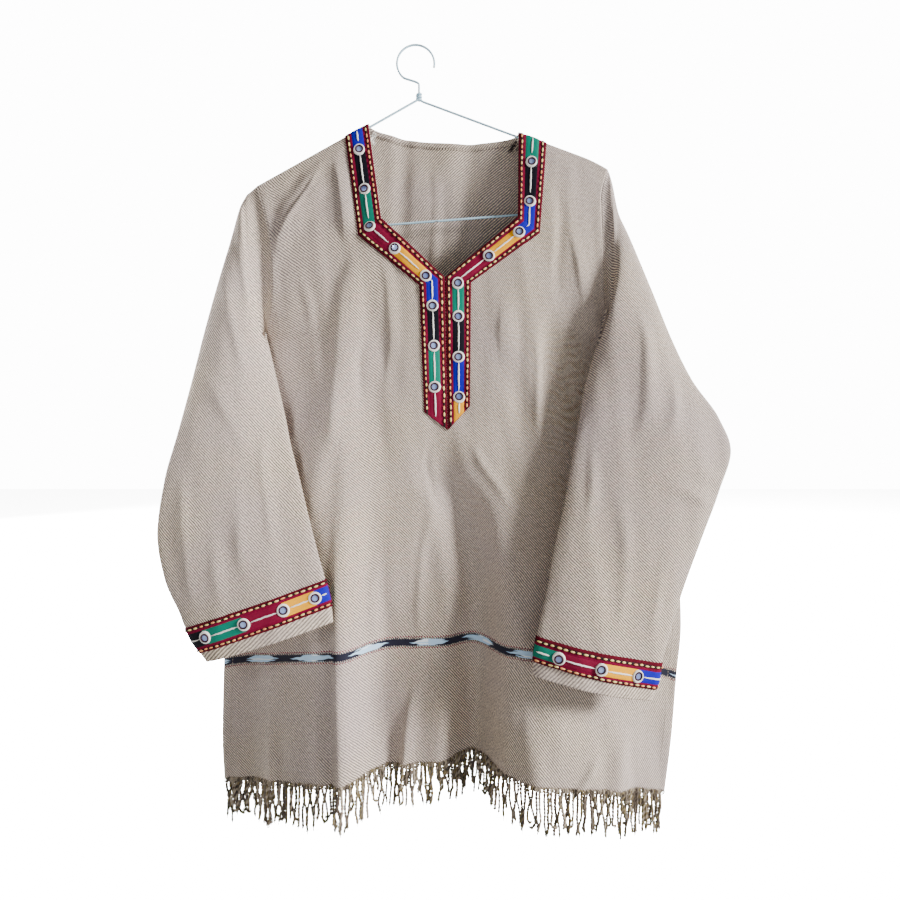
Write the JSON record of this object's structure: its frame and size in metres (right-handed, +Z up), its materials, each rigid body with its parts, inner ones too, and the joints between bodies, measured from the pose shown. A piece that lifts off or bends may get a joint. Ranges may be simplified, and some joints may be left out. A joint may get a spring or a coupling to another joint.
{
  "type": "tunic on a wire hanger",
  "caption": "Loose long-sleeved wool twill tunic with mirror-work ribbon at neck, placket and cuffs, an ikat stripe and a fringed hem, on a wire hanger",
  "frame": {"origin": "inside top of the hanger's hook, where the rail carries it", "axes": "+Z up, the front of the tunic faces -Y, and +X is to the right of someone who looks at the front"},
  "size_m": [0.6213, 0.1262, 0.9079],
  "materials": {
    "twill": "soft wool twill",
    "ribbon": "woven satin ribbon",
    "fringe": "twisted wool yarn",
    "mirror": "small glass mirrors in white thread",
    "wire": "plastic-coated wire"
  },
  "bodies": {
    "root": {"back_panel": "twill", "cuff_trim_left": "ribbon", "cuff_trim_right": "ribbon", "fringe_back": "fringe", "fringe_front": "fringe", "front_panel": "twill", "hanger": "wire", "mirror_cuff_left_back_1": "mirror", "mirror_cuff_left_back_2": "mirror", "mirror_cuff_left_back_3": "mirror", "mirror_cuff_left_front_1": "mirror", "mirror_cuff_left_front_2": "mirror", "mirror_cuff_left_front_3": "mirror", "mirror_cuff_left_front_4": "mirror", "mirror_cuff_right_back_1": "mirror", "mirror_cuff_right_back_2": "mirror", "mirror_cuff_right_back_3": "mirror", "mirror_cuff_right_front_1": "mirror", "mirror_cuff_right_front_2": "mirror", "mirror_cuff_right_front_3": "mirror", "mirror_neck_left_1": "mirror", "mirror_neck_left_2": "mirror", "mirror_neck_left_3": "mirror", "mirror_neck_left_4": "mirror", "mirror_neck_left_5": "mirror", "mirror_neck_left_6": "mirror", "mirror_neck_left_7": "mirror", "mirror_neck_left_8": "mirror", "mirror_neck_right_1": "mirror", "mirror_neck_right_2": "mirror", "mirror_neck_right_3": "mirror", "mirror_neck_right_4": "mirror", "mirror_neck_right_5": "mirror", "mirror_neck_right_6": "mirror", "mirror_neck_right_7": "mirror", "mirror_neck_right_8": "mirror", "neck_trim_left": "ribbon", "neck_trim_right": "ribbon", "sleeve_left": "twill", "sleeve_right": "twill"}
  },
  "joints": []
}
